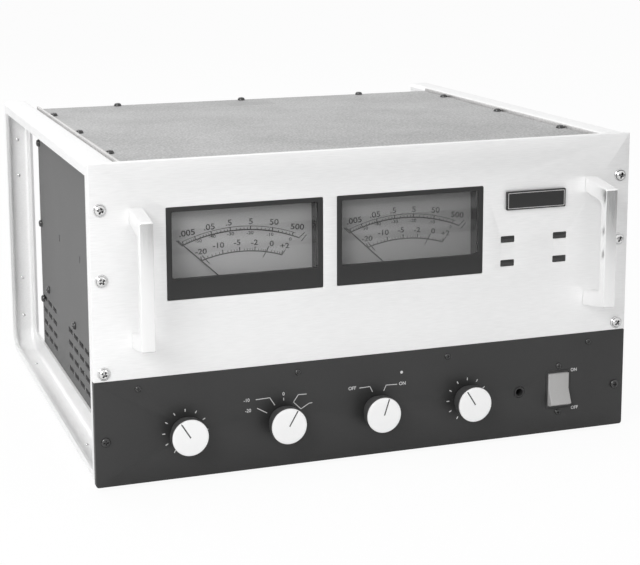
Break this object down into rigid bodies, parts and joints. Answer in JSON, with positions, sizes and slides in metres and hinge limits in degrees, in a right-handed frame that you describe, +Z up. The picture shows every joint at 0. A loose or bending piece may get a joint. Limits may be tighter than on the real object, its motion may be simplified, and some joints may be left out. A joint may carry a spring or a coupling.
{
  "type": "stereo power amplifier",
  "caption": "Rack-mount power amplifier with needle meters, turning knobs, a rocker switch, front handles, side frames and a perforated chassis.",
  "frame": {"origin": "centre of the bounding box, at the level that the feet rest on", "axes": "+X to the right of someone who faces the front panel, +Y from the front panel to the back, +Z up"},
  "size_m": [0.4826, 0.4678, 0.2699],
  "materials": {
    "silver_plate": "brushed, clear anodised",
    "black_plate": "satin black",
    "bright_aluminium": "satin anodised",
    "knob_aluminium": "spun face, satin",
    "dark_sheet": "matt dark grey",
    "cover_sheet": "fine textured grey",
    "zinc_sheet": "zinc plated",
    "black_plastic": "satin black",
    "dial_card": "printed matt",
    "clear_glass": "polished",
    "rocker_plastic": "satin light grey",
    "lamp_lens": "dark translucent",
    "transformer_paint": "black enamel over a laminated core",
    "capacitor_sleeve": "shrink sleeve over a can",
    "board_laminate": "green solder mask",
    "needle_metal": "painted black",
    "rubber": "matt"
  },
  "bodies": {
    "chassis": {"upper_front_panel": "silver_plate", "lower_front_panel": "black_plate", "left_heat_sink": "black_plate", "right_heat_sink": "black_plate", "left_handle": "bright_aluminium", "right_handle": "bright_aluminium", "left_side_frame": "bright_aluminium", "right_side_frame": "bright_aluminium", "left_side_panel": "dark_sheet", "right_side_panel": "dark_sheet", "rear_panel": "dark_sheet", "top_cover": "cover_sheet", "front_chassis_plate": "zinc_sheet", "bottom_plate": "zinc_sheet", "input_jack_plate": "zinc_sheet", "left_meter_movement": "zinc_sheet", "right_meter_movement": "zinc_sheet", "left_gain_potentiometer": "zinc_sheet", "right_gain_potentiometer": "zinc_sheet", "meter_range_rotary_switch": "zinc_sheet", "speakers_rotary_switch": "zinc_sheet", "name_plate": "black_plastic", "left_meter_housing": "black_plastic", "right_meter_housing": "black_plastic", "headphone_jack": "black_plastic", "power_switch_body": "black_plastic", "fan_frame": "black_plastic", "speaker_terminals": "black_plastic", "mains_gland": "black_plastic", "fuse_holder": "black_plastic", "left_meter_dial": "dial_card", "right_meter_dial": "dial_card", "left_meter_lens": "clear_glass", "right_meter_lens": "clear_glass", "left_limit_lens": "lamp_lens", "left_normal_lens": "lamp_lens", "right_limit_lens": "lamp_lens", "right_normal_lens": "lamp_lens", "power_transformer": "transformer_paint", "left_output_transformer": "transformer_paint", "right_output_transformer": "transformer_paint", "left_filter_capacitor": "capacitor_sleeve", "right_filter_capacitor": "capacitor_sleeve", "circuit_board": "board_laminate", "front_left_foot": "rubber", "front_right_foot": "rubber", "rear_left_foot": "rubber", "rear_right_foot": "rubber"},
    "left_gain": {"left_gain_knob": "knob_aluminium", "left_gain_shaft": "zinc_sheet"},
    "meter_range": {"meter_range_knob": "knob_aluminium", "meter_range_shaft": "zinc_sheet"},
    "speakers": {"speakers_knob": "knob_aluminium", "speakers_shaft": "zinc_sheet"},
    "right_gain": {"right_gain_knob": "knob_aluminium", "right_gain_shaft": "zinc_sheet"},
    "power_rocker": {"power_rocker": "rocker_plastic"},
    "left_needle": {"left_needle": "needle_metal"},
    "right_needle": {"right_needle": "needle_metal"},
    "fan_rotor": {"fan_rotor": "black_plastic"}
  },
  "joints": [
    {"name": "left_gain_turn", "type": "hinge", "parent": "chassis", "child": "left_gain", "pos_m": [-0.1661, -0.2149, 0.0435], "axis": [0, 1, 0], "range_deg": [-118, 182]},
    {"name": "meter_range_turn", "type": "hinge", "parent": "chassis", "child": "meter_range", "pos_m": [-0.0816, -0.2149, 0.0435], "axis": [0, 1, 0], "range_deg": [-90, 30]},
    {"name": "speakers_turn", "type": "hinge", "parent": "chassis", "child": "speakers", "pos_m": [0.0029, -0.2149, 0.0435], "axis": [0, 1, 0], "range_deg": [-36, 0]},
    {"name": "right_gain_turn", "type": "hinge", "parent": "chassis", "child": "right_gain", "pos_m": [0.0874, -0.2149, 0.0435], "axis": [0, 1, 0], "range_deg": [-118, 182]},
    {"name": "power_rock", "type": "hinge", "parent": "chassis", "child": "power_rocker", "pos_m": [0.1761, -0.196, 0.0431], "axis": [1, 0, 0], "range_deg": [0, 24.1]},
    {"name": "left_needle_swing", "type": "hinge", "parent": "chassis", "child": "left_needle", "pos_m": [-0.11225, -0.1857, 0.1545], "axis": [0, 1, 0], "range_deg": [0, 95], "stiffness_Nm_per_rad": 0.0002},
    {"name": "right_needle_swing", "type": "hinge", "parent": "chassis", "child": "right_needle", "pos_m": [0.0336, -0.1857, 0.1545], "axis": [0, 1, 0], "range_deg": [0, 95], "stiffness_Nm_per_rad": 0.0002},
    {"name": "fan_spin", "type": "hinge", "parent": "chassis", "child": "fan_rotor", "pos_m": [0, 0.1471, 0.194], "axis": [0, 1, 0], "continuous": true}
  ]
}
